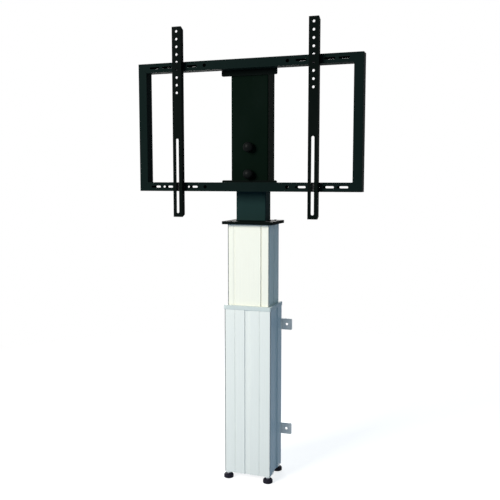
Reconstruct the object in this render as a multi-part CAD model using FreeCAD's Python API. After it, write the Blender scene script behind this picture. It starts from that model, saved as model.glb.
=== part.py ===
import FreeCAD, Part
import os
from FreeCAD import Vector

# Driving dimensions of the stand, in millimetres.
# The stand faces -Y, the floor is Z = 0 and the column's axis is laid out on X = Y = 0.

# Fixed outer column, its collar and its base plate
outer_width = 166.0
outer_depth = 134.0
outer_wall = 4.0
outer_corner = 3.0
outer_bottom = 23.0
outer_length = 578.0
panel_recess_width = 18.0
side_recess_width = 40.0
recess_depth = 2.4
outer_groove_pitch = 88.0
groove_width = 2.4
groove_depth = 1.2
collar_height = 14.0
collar_proud = 2.0
base_plate_thickness = 8.0

# Moving inner column and its top plate
column_gap = 5.0
inner_width = outer_width - 2 * (outer_wall + column_gap)
inner_depth = outer_depth - 2 * (outer_wall + column_gap)
inner_wall = 4.0
inner_corner = 3.0
inner_overlength = 2.0
inner_length = outer_length + inner_overlength
inner_exposed = 277.0
inner_groove_pitch = 95.0
screw_port_radius = 6.0
top_plate_overhang = 15.0
top_plate_thickness = 10.0

# Mast and the sleeve that slides on it
mast_width = 106.0
mast_depth = 56.0
mast_wall = 3.0
mast_corner = 4.0
mast_length = 490.0
mast_cap_thickness = 3.0
mast_cap_plug = 15.0
sleeve_width = 130.0
sleeve_wall = 3.0
sleeve_corner = 4.0
sleeve_below_frame_top = 22.0
sleeve_above_top_plate = 101.0
sleeve_front_gap = 11.0
sleeve_rear_gap = 2.0
bush_height = 30.0
upper_bush_rise = 250.0

# Clamp knobs on the sleeve
knob_radius = 17.0
knob_height = 20.0
knob_skirt = 9.0
lower_knob_rise = 57.0
upper_knob_rise = 147.0
knob_boss_radius = 12.0
knob_boss_height = 8.0
knob_stud_radius = 5.0
shoe_width = 60.0
shoe_thickness = 7.0
shoe_margin = 18.0

# Screen frame and the two plates that hold it to the sleeve
frame_width = 774.0
frame_height = 431.0
frame_tube_face = 30.0
frame_tube_depth = 40.0
frame_tube_wall = 2.0
cross_plate_width = 194.0
cross_plate_thickness = 5.0
cross_plate_corner = 5.0
upper_plate_height = 49.0
lower_plate_height = 37.0
cross_bolt_spacing = 158.0
slots_per_side = 4
slot_height = 7.0
slot_web = 10.0
slot_plate_margin = 73.0
slot_end_margin = 13.0
rail_hole_radius = 6.0
rail_hole_from_slots = 27.0

# Vertical arms that carry the screen
arm_width = 32.0
arm_depth = 22.0
arm_wall = 2.5
arm_length = 630.0
arm_below_frame = 87.0
arm_end_taper = 8.0
arm_end_lip = 5.0
arm_hole_pitch = 25.0
arm_hole_count = 9
arm_hole_radius = 4.2
arm_hole_inset = 15.5
arm_slot_width = 10.0
arm_slot_length = 250.0
arm_slot_inset = 13.0
arm_block_height = 24.0
arm_block_depth = 12.0
arm_bolt_radius = 3.0
arm_bolt_flats = 10.0
arm_bolt_head_height = 4.2
washer_radius = 8.0
washer_thickness = 1.6

# Levelling feet
foot_radius = 17.0
foot_pad_height = 14.0
foot_stud_radius = 5.0
foot_inset = 11.0
foot_stud_above_plate = 8.0
foot_stud_sink = 6.0
foot_chamfer = 2.0
lock_nut_flats = 17.0
lock_nut_height = 5.0

# Lifting drive inside the column
gearbox_width = 120.0
gearbox_depth = 72.0
gearbox_height = 60.0
motor_radius = 28.0
motor_height = 120.0
motor_offset = -33.0
motor_chamfer = 3.0
spindle_offset = 30.0
spindle_radius = 10.0
spindle_end_margin = 30.0
spindle_sink = 20.0
spindle_nut_radius = 26.0
spindle_nut_height = 40.0
spindle_nut_below_top = 483.0
push_tube_radius = 20.0
push_tube_wall = 3.0
bearing_radius = 20.0
bearing_height = 12.0

# Wall brackets, cable grommet and fastener sizes
bracket_height = 40.0
bracket_thickness = 3.0
bracket_ear = 38.0
bracket_corner = 4.0
bracket_hole_radius = 4.5
upper_bracket_below_top = 67.0
lower_bracket_rise = 131.0
grommet_radius = 9.0
grommet_flange = 3.0
grommet_lip = 2.0
grommet_wall = 3.0
grommet_height = 62.0
bolt_radius = 4.0
bolt_head_flats = 13.0
bolt_head_height = 5.2
bracket_screw_head_radius = 7.2
screw_radius = 2.5
screw_length = 12.0
screw_head_radius = 5.0
screw_head_height = 2.5
screw_end_gap = 1.0
base_screw_from_stud = 15.0
pad_length = 40.0
pad_width = 30.0
pad_end_distance = 6.0

# Clearances
running_gap = 0.3
stud_fit = 0.05
thread_fit = 0.05
slide_gap = 0.1
collar_gap = 0.6
straight_edge_tolerance = 1e-6

# Levels and planes that follow from the sizes above
outer_top = outer_bottom + outer_length
upper_bracket_height = outer_top - upper_bracket_below_top
lower_bracket_height = outer_bottom + lower_bracket_rise
base_screw_level = outer_bottom + base_plate_thickness / 2
collar_top = outer_top + collar_height
inner_top = collar_top + inner_exposed
inner_bottom = inner_top - inner_length
plate_top = inner_top + top_plate_thickness
mast_top = plate_top + mast_length
mast_front = -mast_depth / 2
sleeve_front = mast_front - sleeve_front_gap - sleeve_wall
sleeve_back = mast_depth / 2 + sleeve_rear_gap + sleeve_wall
sleeve_bottom = plate_top + sleeve_above_top_plate
sleeve_top = sleeve_bottom + frame_height - sleeve_below_frame_top
frame_back = sleeve_front - cross_plate_thickness
frame_front = frame_back - frame_tube_depth
frame_bottom = sleeve_bottom
frame_top = frame_bottom + frame_height
rail_middles = (frame_bottom + frame_tube_face / 2, frame_top - frame_tube_face / 2)
arm_back = frame_front - slide_gap
arm_front = arm_back - arm_depth
arm_bottom = frame_bottom - arm_below_frame
arm_top = arm_bottom + arm_length
base_top = outer_bottom + base_plate_thickness
gearbox_top = base_top + gearbox_height
lower_knob_level = sleeve_bottom + lower_knob_rise
upper_knob_level = sleeve_bottom + upper_knob_rise
slot_start = cross_plate_width / 2 + slot_plate_margin
slot_end = frame_width / 2 - frame_tube_face - slot_end_margin
slot_pitch = (slot_end - slot_start + slot_web) / slots_per_side
slot_length = slot_pitch - slot_web
arm_middle = slot_start + slot_pitch + slot_length / 2
rail_hole_middle = slot_start - rail_hole_from_slots
bracket_back = outer_depth / 2 + bracket_thickness
bracket_reach = bracket_back + bolt_head_height

# The finished stand is moved so that its middle, front to back, lies on Y = 0.
column_y = (-arm_front - bracket_reach) / 2


def block(x_low, x_high, y_low, y_high, z_low, z_high):
    return Part.makeBox(x_high - x_low, y_high - y_low, z_high - z_low, Vector(x_low, y_low, z_low))


def centred_block(width, depth, z_low, z_high):
    return block(-width / 2, width / 2, -depth / 2, depth / 2, z_low, z_high)


def upright_edges(shape):
    found = []
    for edge in shape.Edges:
        start, end = edge.Vertexes[0].Point, edge.Vertexes[-1].Point
        drift = max(abs(start.x - end.x), abs(start.y - end.y))
        if drift < straight_edge_tolerance:
            found.append(edge)
    return found


def through_edges(plate):
    found = []
    for edge in plate.Edges:
        if abs(edge.Vertexes[0].Point.y - edge.Vertexes[-1].Point.y) > straight_edge_tolerance:
            found.append(edge)
    return found


def rounded_block(width, depth, z_low, z_high, radius):
    solid = centred_block(width, depth, z_low, z_high)
    return solid.makeFillet(radius, upright_edges(solid))


def rod(radius, start, axis, length):
    return Part.makeCylinder(radius, length, start, axis)


def rod_z(radius, x, y, z_low, z_high):
    return rod(radius, Vector(x, y, z_low), Vector(0, 0, 1), z_high - z_low)


def rod_y(radius, x, z, y_low, y_high):
    return rod(radius, Vector(x, y_low, z), Vector(0, 1, 0), y_high - y_low)


def rod_x(radius, y, z, x_low, x_high):
    return rod(radius, Vector(x_low, y, z), Vector(1, 0, 0), x_high - x_low)


def hexagon(across_flats, centre, axis, height):
    corner = across_flats / 3 ** 0.5
    outline = Part.makePolygon([Vector(corner, 0, 0)] + [turned(corner, step) for step in range(1, 7)])
    prism = Part.Face(outline).extrude(Vector(0, 0, height))
    prism.Placement = FreeCAD.Placement(centre, FreeCAD.Rotation(Vector(0, 0, 1), axis))
    return prism


def turned(radius, step):
    rotation = FreeCAD.Rotation(Vector(0, 0, 1), 60 * step)
    return rotation.multVec(Vector(radius, 0, 0))


def round_slot_y(x, z, length, height, y_low, y_high, upright=False):
    half = (length - height) / 2
    ends = [rod_y(height / 2, x - half, z, y_low, y_high), rod_y(height / 2, x + half, z, y_low, y_high)]
    middle = block(x - half, x + half, y_low, y_high, z - height / 2, z + height / 2)
    slot = middle.fuse(ends).removeSplitter()
    if upright:
        slot.rotate(Vector(x, 0, z), Vector(0, 1, 0), 90)
    return slot


def export(name, shape):
    finished = shape.copy()
    finished.translate(Vector(0, column_y, 0))
    finished.exportStep("parts/" + name + ".step")


def extruded_column(width, depth, wall, corner, z_low, z_high, groove_pitch):
    solid = rounded_block(width, depth, z_low, z_high, corner)
    hollow = rounded_block(width - 2 * wall, depth - 2 * wall, z_low, z_high, corner)
    grooves = []
    for side in (-1, 1):
        for groove_x in (-groove_pitch / 2, groove_pitch / 2):
            face = side * depth / 2
            low, high = sorted((face, face - side * groove_depth))
            left, right = groove_x - groove_width / 2, groove_x + groove_width / 2
            grooves.append(block(left, right, low, high, z_low, z_high))
    return solid.cut([hollow] + grooves)


def make_outer_column():
    column = extruded_column(outer_width, outer_depth, outer_wall, outer_corner,
                             outer_bottom, outer_top, outer_groove_pitch)
    cuts = []
    for side in (-1, 1):
        low, high = sorted((side * outer_depth / 2, side * (outer_depth / 2 - recess_depth)))
        half = panel_recess_width / 2
        cuts.append(block(-half, half, low, high, outer_bottom, outer_top))
        low, high = sorted((side * outer_width / 2, side * (outer_width / 2 - recess_depth)))
        half = side_recess_width / 2
        cuts.append(block(low, high, -half, half, outer_bottom, outer_top))
        wall_low, wall_high = sorted((side * outer_width / 2, side * (outer_width / 2 - outer_wall)))
        for y in base_screw_places():
            cuts.append(rod_x(screw_radius + thread_fit, y, base_screw_level, wall_low, wall_high))
    for x, z in bracket_screw_places():
        cuts.append(rod_y(bolt_radius + thread_fit, x, z, outer_depth / 2 - outer_wall, outer_depth / 2))
    cuts.append(rod_y(grommet_radius, 0, grommet_height, outer_depth / 2 - outer_wall, outer_depth / 2))
    return column.cut(cuts)


def base_screw_places():
    offset = outer_depth / 2 - outer_wall - foot_inset - base_screw_from_stud
    return (-offset, offset)


def make_outer_collar():
    ring = rounded_block(outer_width + 2 * collar_proud, outer_depth + 2 * collar_proud,
                         outer_top, collar_top, outer_corner + collar_proud)
    opening = rounded_block(inner_width + 2 * collar_gap, inner_depth + 2 * collar_gap,
                            outer_top, collar_top, inner_corner + collar_gap)
    return ring.cut(opening)


def foot_places():
    x = outer_width / 2 - foot_inset
    y = outer_depth / 2 - foot_inset
    return {"front_left": (-x, -y), "front_right": (x, -y), "rear_left": (-x, y), "rear_right": (x, y)}


def make_base_plate():
    inset = 2 * (outer_wall + slide_gap)
    plate = rounded_block(outer_width - inset, outer_depth - inset, outer_bottom, base_top, outer_corner)
    holes = [rod_z(foot_stud_radius + stud_fit, x, y, outer_bottom, base_top)
             for x, y in foot_places().values()]
    for side in (-1, 1):
        face = side * (outer_width / 2 - outer_wall)
        low, high = sorted((face, face - side * screw_length))
        for y in base_screw_places():
            holes.append(rod_x(screw_radius + thread_fit, y, base_screw_level, low, high))
    return plate.cut(holes)


def make_base_plate_screws():
    screws = []
    for side in (-1, 1):
        seat = side * (outer_width / 2)
        tip = side * (outer_width / 2 - outer_wall - screw_length + screw_end_gap)
        head = side * (outer_width / 2 + screw_head_height)
        for y in base_screw_places():
            shank = rod_x(screw_radius, y, base_screw_level, *sorted((tip, seat)))
            cap = rod_x(screw_head_radius, y, base_screw_level, *sorted((seat, head)))
            screws.append(shank.fuse(cap))
    return Part.makeCompound(screws)


def make_foot(x, y):
    pad = rod_z(foot_radius, x, y, 0, foot_pad_height)
    pad = pad.makeChamfer(foot_chamfer, [pad.Edges[0], pad.Edges[-1]])
    stud_bottom = foot_pad_height - foot_stud_sink
    socket = rod_z(foot_stud_radius + thread_fit, x, y, stud_bottom, foot_pad_height)
    stud = rod_z(foot_stud_radius, x, y, stud_bottom, base_top + foot_stud_above_plate)
    return pad.cut(socket), stud


def make_foot_lock_nuts():
    nut_bottom = outer_bottom - lock_nut_height
    nuts = []
    for x, y in foot_places().values():
        nut = hexagon(lock_nut_flats, Vector(x, y, nut_bottom), Vector(0, 0, 1), lock_nut_height)
        nuts.append(nut.cut(rod_z(foot_stud_radius + stud_fit, x, y, nut_bottom, outer_bottom)))
    return Part.makeCompound(nuts)


def make_glide_pads(carrier_width, carrier_depth, z_low, inward):
    thickness = column_gap - running_gap
    reach = -thickness if inward else thickness
    pads = []
    for side in (-1, 1):
        face = side * carrier_width / 2
        x_low, x_high = sorted((face, face + side * reach))
        pads.append(block(x_low, x_high, -pad_width / 2, pad_width / 2, z_low, z_low + pad_length))
        face = side * carrier_depth / 2
        y_low, y_high = sorted((face, face + side * reach))
        pads.append(block(-pad_width / 2, pad_width / 2, y_low, y_high, z_low, z_low + pad_length))
    return Part.makeCompound(pads)


def make_gearbox_housing():
    housing = centred_block(gearbox_width, gearbox_depth, base_top, gearbox_top)
    seat = rod_z(bearing_radius + thread_fit, spindle_offset, 0, gearbox_top - bearing_height, gearbox_top)
    socket = rod_z(spindle_radius + running_gap, spindle_offset, 0, gearbox_top - spindle_sink, gearbox_top)
    return housing.cut([seat, socket])


def make_motor_housing():
    motor = rod_z(motor_radius, motor_offset, 0, gearbox_top, gearbox_top + motor_height)
    return motor.makeChamfer(motor_chamfer, [motor.Edges[0]])


def make_spindle_bearing():
    ring = rod_z(bearing_radius, spindle_offset, 0, gearbox_top - bearing_height, gearbox_top)
    bore = rod_z(spindle_radius + thread_fit, spindle_offset, 0, gearbox_top - bearing_height, gearbox_top)
    return ring.cut(bore)


def make_lead_screw():
    bottom = gearbox_top - spindle_sink + running_gap
    return rod_z(spindle_radius, spindle_offset, 0, bottom, outer_top - spindle_end_margin)


def make_spindle_nut():
    top = inner_top - spindle_nut_below_top + spindle_nut_height
    nut = rod_z(spindle_nut_radius, spindle_offset, 0, top - spindle_nut_height, top)
    return nut.cut(rod_z(spindle_radius + thread_fit, spindle_offset, 0, top - spindle_nut_height, top))


def make_push_tube():
    bottom = inner_top - spindle_nut_below_top + spindle_nut_height
    tube = rod_z(push_tube_radius, spindle_offset, 0, bottom, inner_top)
    return tube.cut(rod_z(push_tube_radius - push_tube_wall, spindle_offset, 0, bottom, inner_top))


def top_screw_places():
    x = inner_width / 2 - inner_wall - screw_port_radius
    y = inner_depth / 2 - inner_wall - screw_port_radius
    return [(sx * x, sy * y) for sx in (-1, 1) for sy in (-1, 1)]


def make_inner_column():
    column = extruded_column(inner_width, inner_depth, inner_wall, inner_corner,
                             inner_bottom, inner_top, inner_groove_pitch)
    ports = []
    for x, y in top_screw_places():
        corner_x = (1 if x > 0 else -1) * (inner_width / 2 - inner_wall)
        corner_y = (1 if y > 0 else -1) * (inner_depth / 2 - inner_wall)
        fill = block(*sorted((x, corner_x)), *sorted((y, corner_y)), inner_bottom, inner_top)
        ports.append(fill.fuse(rod_z(screw_port_radius, x, y, inner_bottom, inner_top)))
    column = column.fuse(ports).removeSplitter()
    return column.cut([rod_z(screw_radius + thread_fit, x, y, inner_bottom, inner_top)
                       for x, y in top_screw_places()])


def make_top_plate():
    plate = rounded_block(inner_width + 2 * top_plate_overhang, inner_depth + 2 * top_plate_overhang,
                          inner_top, plate_top, inner_corner)
    holes = [rod_z(screw_radius + thread_fit, x, y, inner_top, plate_top) for x, y in top_screw_places()]
    return plate.cut(holes)


def make_top_plate_screws():
    screws = []
    for x, y in top_screw_places():
        shank = rod_z(screw_radius, x, y, inner_top - screw_length, plate_top)
        head = rod_z(screw_head_radius, x, y, plate_top, plate_top + screw_head_height)
        screws.append(shank.fuse(head))
    return Part.makeCompound(screws)


def make_mast():
    tube = rounded_block(mast_width, mast_depth, plate_top, mast_top, mast_corner)
    return tube.cut(rounded_block(mast_width - 2 * mast_wall, mast_depth - 2 * mast_wall,
                                  plate_top, mast_top, mast_corner - mast_wall / 2))


def make_mast_cap():
    lid = rounded_block(mast_width, mast_depth, mast_top, mast_top + mast_cap_thickness, mast_corner)
    inset = 2 * (mast_wall + running_gap)
    plug = rounded_block(mast_width - inset, mast_depth - inset,
                         mast_top - mast_cap_plug, mast_top, mast_corner)
    return lid.fuse(plug).removeSplitter()


def sleeve_outline(z_low, z_high, inset, corner):
    middle = (sleeve_front + sleeve_back) / 2
    depth = sleeve_back - sleeve_front
    solid = rounded_block(sleeve_width - 2 * inset, depth - 2 * inset, z_low, z_high, corner)
    solid.translate(Vector(0, middle, 0))
    return solid


def make_sleeve():
    sleeve = sleeve_outline(sleeve_bottom, sleeve_top, 0, sleeve_corner)
    hollow = sleeve_outline(sleeve_bottom, sleeve_top, sleeve_wall, sleeve_corner - sleeve_wall / 2)
    holes = [rod_y(knob_stud_radius + stud_fit, 0, z, sleeve_front, sleeve_front + sleeve_wall)
             for z in (lower_knob_level, upper_knob_level)]
    return sleeve.cut([hollow] + holes)


def make_sleeve_bush(z_low):
    corner = sleeve_corner - sleeve_wall / 2
    bush = sleeve_outline(z_low, z_low + bush_height, sleeve_wall + slide_gap, corner)
    opening = rounded_block(mast_width + 2 * running_gap, mast_depth + 2 * running_gap,
                            z_low, z_low + bush_height, mast_corner)
    return bush.cut(opening)


def make_clamp_shoe():
    back = mast_front - running_gap
    return block(-shoe_width / 2, shoe_width / 2, back - shoe_thickness, back,
                 lower_knob_level - shoe_margin, upper_knob_level + shoe_margin)


def make_knob_bosses():
    bosses = []
    for z in (lower_knob_level, upper_knob_level):
        boss = rod_y(knob_boss_radius, 0, z, sleeve_front - knob_boss_height, sleeve_front)
        hole = rod_y(knob_stud_radius + stud_fit, 0, z, sleeve_front - knob_boss_height, sleeve_front)
        bosses.append(boss.cut(hole))
    return Part.makeCompound(bosses)


def make_knob(z):
    seat = sleeve_front - knob_boss_height - running_gap
    skirt = rod_y(knob_radius, 0, z, seat - knob_skirt, seat)
    crown = knob_height - knob_skirt
    ball = (knob_radius ** 2 + crown ** 2) / (2 * crown)
    dome = Part.makeSphere(ball, Vector(0, seat - knob_height + ball, z))
    dome = dome.common(rod_y(knob_radius, 0, z, seat - knob_height, seat - knob_skirt))
    socket = rod_y(knob_stud_radius + thread_fit, 0, z, seat - knob_skirt, seat)
    tip = mast_front - running_gap - shoe_thickness - running_gap
    stud = rod_y(knob_stud_radius, 0, z, seat - knob_skirt, tip)
    return skirt.fuse(dome).removeSplitter().cut(socket), stud


def cross_bolt_places():
    return [(side * cross_bolt_spacing / 2, z) for side in (-1, 1) for z in rail_middles]


def make_cross_plate(z_low, z_high):
    half = cross_plate_width / 2
    plate = block(-half, half, frame_back, sleeve_front, z_low, z_high)
    plate = plate.makeFillet(cross_plate_corner, through_edges(plate))
    holes = [rod_y(bolt_radius + running_gap, x, z, frame_back, sleeve_front)
             for x, z in cross_bolt_places() if z_low < z < z_high]
    return plate.cut(holes)


def make_cross_plate_bolts():
    tip = frame_back - frame_tube_wall - bolt_radius
    bolts = []
    for x, z in cross_bolt_places():
        shank = rod_y(bolt_radius, x, z, tip, sleeve_front)
        head = hexagon(bolt_head_flats, Vector(x, sleeve_front, z), Vector(0, 1, 0), bolt_head_height)
        bolts.append(shank.fuse(head))
    return Part.makeCompound(bolts)


def prism_y(points, y_low, y_high):
    corners = [Vector(x, y_low, z) for x, z in points]
    face = Part.Face(Part.makePolygon(corners + corners[:1]))
    return face.extrude(Vector(0, y_high - y_low, 0))


def mitred_corners(inset):
    half = frame_width / 2 - inset
    low, high = frame_bottom + inset, frame_top - inset
    return [(-half, low), (half, low), (half, high), (-half, high)]


def make_frame_tube(first, second):
    outer, inner = mitred_corners(0), mitred_corners(frame_tube_face)
    solid = prism_y([outer[first], outer[second], inner[second], inner[first]], frame_back, frame_front)
    near = mitred_corners(frame_tube_wall)
    far = mitred_corners(frame_tube_face - frame_tube_wall)
    hollow = prism_y([near[first], near[second], far[second], far[first]],
                     frame_back - frame_tube_wall, frame_front + frame_tube_wall)
    return solid.cut(hollow)


def make_frame_rail(first, second, middle):
    rail = make_frame_tube(first, second)
    cuts = []
    for side in (-1, 1):
        for index in range(slots_per_side):
            x = side * (slot_start + slot_length / 2 + index * slot_pitch)
            cuts.append(round_slot_y(x, middle, slot_length, slot_height, frame_front, frame_back))
        cuts.append(rod_y(rail_hole_radius, side * rail_hole_middle, middle, frame_front, frame_back))
    for x, z in cross_bolt_places():
        if z == middle:
            cuts.append(rod_y(bolt_radius + thread_fit, x, z, frame_back - frame_tube_wall, frame_back))
    return rail.cut(cuts)


def arm_hole_levels():
    top = arm_top - arm_hole_inset
    return [top - index * arm_hole_pitch for index in range(arm_hole_count)]


def make_arm(x):
    left, right = x - arm_width / 2, x + arm_width / 2
    body = block(left, right, arm_front, arm_back, arm_bottom, arm_top)
    hollow = block(left + arm_wall, right - arm_wall, arm_front + arm_wall, arm_back, arm_bottom, arm_top)
    cuts = [hollow]
    web_back = arm_front + arm_wall
    for level, inward in ((arm_bottom, 1), (arm_top, -1)):
        corners = [Vector(left, arm_back, level), Vector(left, arm_front + arm_end_lip, level),
                   Vector(left, arm_back, level + inward * arm_end_taper)]
        taper = Part.Face(Part.makePolygon(corners + corners[:1])).extrude(Vector(arm_width, 0, 0))
        cuts.append(taper)
    for level in arm_hole_levels():
        cuts.append(rod_y(arm_hole_radius, x, level, arm_front, web_back))
    slot_middle = arm_bottom + arm_slot_inset + arm_slot_length / 2
    slot = round_slot_y(x, slot_middle, arm_slot_length, arm_slot_width, arm_front, web_back, upright=True)
    cuts.append(slot)
    return body.cut(cuts)


def make_arm_nut_blocks(x):
    half = arm_width / 2 - arm_wall
    blocks = []
    for middle in rail_middles:
        nut = block(x - half, x + half, arm_back - arm_block_depth, arm_back,
                    middle - arm_block_height / 2, middle + arm_block_height / 2)
        hole = rod_y(arm_bolt_radius + thread_fit, x, middle, arm_back - arm_block_depth, arm_back)
        blocks.append(nut.cut(hole))
    return Part.makeCompound(blocks)


def make_arm_bolts(x):
    seat = frame_back + slide_gap
    head_seat = seat + washer_thickness
    bolts = []
    for middle in rail_middles:
        shank = rod_y(arm_bolt_radius, x, middle, arm_back - arm_block_depth, seat)
        washer = rod_y(washer_radius, x, middle, seat, head_seat)
        head = hexagon(arm_bolt_flats, Vector(x, head_seat, middle), Vector(0, 1, 0), arm_bolt_head_height)
        bolts.append(shank.fuse([washer, head]))
    return Part.makeCompound(bolts)


def bracket_screw_places():
    x = outer_groove_pitch / 4
    return [(side * x, z) for side in (-1, 1) for z in (lower_bracket_height, upper_bracket_height)]


def make_wall_bracket(middle):
    half = outer_width / 2 + bracket_ear
    y_low, y_high = outer_depth / 2, bracket_back
    bar = block(-half, half, y_low, y_high, middle - bracket_height / 2, middle + bracket_height / 2)
    bar = bar.makeFillet(bracket_corner, through_edges(bar))
    holes = [rod_y(bolt_radius + thread_fit, x, z, y_low, y_high)
             for x, z in bracket_screw_places() if z == middle]
    hole_x = outer_width / 2 + bracket_ear / 2
    holes += [rod_y(bracket_hole_radius, side * hole_x, middle, y_low, y_high) for side in (-1, 1)]
    return bar.cut(holes)


def make_wall_bracket_screws():
    screws = []
    for x, z in bracket_screw_places():
        shank = rod_y(bolt_radius, x, z, outer_depth / 2 - outer_wall, bracket_back)
        head = rod_y(bracket_screw_head_radius, x, z, bracket_back, bracket_reach)
        screws.append(shank.fuse(head))
    return Part.makeCompound(screws)


def make_cable_grommet():
    outside, inside = outer_depth / 2, outer_depth / 2 - outer_wall
    neck = rod_y(grommet_radius - slide_gap, 0, grommet_height, inside, outside)
    lip = rod_y(grommet_radius + grommet_flange, 0, grommet_height, outside, outside + grommet_lip)
    bore = rod_y(grommet_radius - grommet_wall, 0, grommet_height, inside, outside + grommet_lip)
    return neck.fuse(lip).cut(bore)


def main():
    os.makedirs("parts", exist_ok=True)
    inner_space = (outer_width - 2 * outer_wall, outer_depth - 2 * outer_wall)
    export("outer_column", make_outer_column())
    export("outer_collar", make_outer_collar())
    export("base_plate", make_base_plate())
    export("base_plate_screws", make_base_plate_screws())
    export("foot_lock_nuts", make_foot_lock_nuts())
    for place, (x, y) in foot_places().items():
        pad, stud = make_foot(x, y)
        export("foot_pad_" + place, pad)
        export("foot_stud_" + place, stud)
    export("upper_glide_pads", make_glide_pads(*inner_space, outer_top - pad_end_distance - pad_length, True))
    export("gearbox_housing", make_gearbox_housing())
    export("motor_housing", make_motor_housing())
    export("spindle_bearing", make_spindle_bearing())
    export("lead_screw", make_lead_screw())
    export("cable_grommet", make_cable_grommet())
    export("upper_wall_bracket", make_wall_bracket(upper_bracket_height))
    export("lower_wall_bracket", make_wall_bracket(lower_bracket_height))
    export("wall_bracket_screws", make_wall_bracket_screws())
    export("inner_column", make_inner_column())
    lower_pads_level = inner_bottom + pad_end_distance
    export("lower_glide_pads", make_glide_pads(inner_width, inner_depth, lower_pads_level, False))
    export("spindle_nut", make_spindle_nut())
    export("push_tube", make_push_tube())
    export("top_plate", make_top_plate())
    export("top_plate_screws", make_top_plate_screws())
    export("mast", make_mast())
    export("mast_cap", make_mast_cap())
    export("sleeve", make_sleeve())
    export("lower_sleeve_bush", make_sleeve_bush(sleeve_bottom))
    export("upper_sleeve_bush", make_sleeve_bush(sleeve_bottom + upper_bush_rise))
    export("clamp_shoe", make_clamp_shoe())
    export("knob_bosses", make_knob_bosses())
    for place, level in (("lower", lower_knob_level), ("upper", upper_knob_level)):
        knob, stud = make_knob(level)
        export(place + "_knob", knob)
        export(place + "_knob_stud", stud)
    export("lower_cross_plate", make_cross_plate(frame_bottom, frame_bottom + lower_plate_height))
    export("upper_cross_plate", make_cross_plate(frame_top - upper_plate_height, frame_top))
    export("cross_plate_bolts", make_cross_plate_bolts())
    export("frame_bottom_rail", make_frame_rail(0, 1, rail_middles[0]))
    export("frame_right_upright", make_frame_tube(1, 2))
    export("frame_top_rail", make_frame_rail(2, 3, rail_middles[1]))
    export("frame_left_upright", make_frame_tube(3, 0))
    for place, x in (("left", -arm_middle), ("right", arm_middle)):
        export(place + "_arm", make_arm(x))
        export(place + "_arm_nut_blocks", make_arm_nut_blocks(x))
        export(place + "_arm_bolts", make_arm_bolts(x))


main()
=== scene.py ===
import bpy
import bmesh
from math import cos, pi, radians, sin
from mathutils import Matrix, Vector


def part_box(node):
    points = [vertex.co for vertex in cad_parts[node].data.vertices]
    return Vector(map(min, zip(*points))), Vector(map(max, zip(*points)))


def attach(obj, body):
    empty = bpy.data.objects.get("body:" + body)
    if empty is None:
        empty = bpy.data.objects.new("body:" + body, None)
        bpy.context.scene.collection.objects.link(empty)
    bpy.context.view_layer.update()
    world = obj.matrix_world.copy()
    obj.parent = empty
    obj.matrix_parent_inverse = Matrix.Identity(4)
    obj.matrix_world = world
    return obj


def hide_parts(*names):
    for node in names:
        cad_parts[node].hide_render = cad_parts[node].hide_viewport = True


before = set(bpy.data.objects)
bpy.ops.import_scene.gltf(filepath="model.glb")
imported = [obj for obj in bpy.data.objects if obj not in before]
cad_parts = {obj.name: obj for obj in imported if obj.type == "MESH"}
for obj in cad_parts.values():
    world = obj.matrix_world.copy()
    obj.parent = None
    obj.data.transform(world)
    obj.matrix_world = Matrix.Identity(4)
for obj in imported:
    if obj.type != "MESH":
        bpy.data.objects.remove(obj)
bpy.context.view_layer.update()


# Outer column: the fixed lower half of the lift, one clear-anodised aluminium extrusion, sawn to length.
# A shallow recess runs up the middle of the front and back between two fine grooves, and a broader one up each
# side. The front left corner is fuller, the sawn ends are broken, and the cable hole is bored at the back.

def effect_group(name, inputs, outputs):
    group = bpy.data.node_groups.new(name, "ShaderNodeTree")
    for label, kind, value in inputs:
        socket = group.interface.new_socket(label, in_out="INPUT", socket_type=kind)
        socket.default_value = value
    for label, kind in outputs:
        group.interface.new_socket(label, in_out="OUTPUT", socket_type=kind)
    return group, group.nodes.new("NodeGroupInput"), group.nodes.new("NodeGroupOutput")


def feed(tree, value, socket):
    if isinstance(value, bpy.types.NodeSocket):
        tree.links.new(value, socket)
    else:
        socket.default_value = value


def stretched_noise(tree, per_metre, detail, stretch=(1, 1, 1)):
    place = tree.nodes.new("ShaderNodeTexCoord")
    longer = tree.nodes.new("ShaderNodeVectorMath")
    longer.operation = "MULTIPLY"
    longer.inputs[1].default_value = stretch
    noise = tree.nodes.new("ShaderNodeTexNoise")
    tree.links.new(place.outputs["Object"], longer.inputs[0])
    tree.links.new(longer.outputs["Vector"], noise.inputs["Vector"])
    feed(tree, per_metre, noise.inputs["Scale"])
    feed(tree, detail, noise.inputs["Detail"])
    return noise.outputs["Fac"]


def spread(tree, value, low, high, to_low=0.0, to_high=1.0):
    ramp = tree.nodes.new("ShaderNodeMapRange")
    for index, limit in enumerate((value, low, high, to_low, to_high)):
        feed(tree, limit, ramp.inputs[index])
    return ramp.outputs[0]


def blend_colours(tree, mask, first, second):
    mix = tree.nodes.new("ShaderNodeMix")
    mix.data_type = "RGBA"
    feed(tree, mask, mix.inputs["Factor"])
    feed(tree, first, mix.inputs["A"])
    feed(tree, second, mix.inputs["B"])
    return mix.outputs["Result"]


def times(tree, first, second):
    product = tree.nodes.new("ShaderNodeMath")
    product.operation = "MULTIPLY"
    tree.links.new(first, product.inputs[0])
    tree.links.new(second, product.inputs[1])
    return product.outputs[0]


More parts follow.
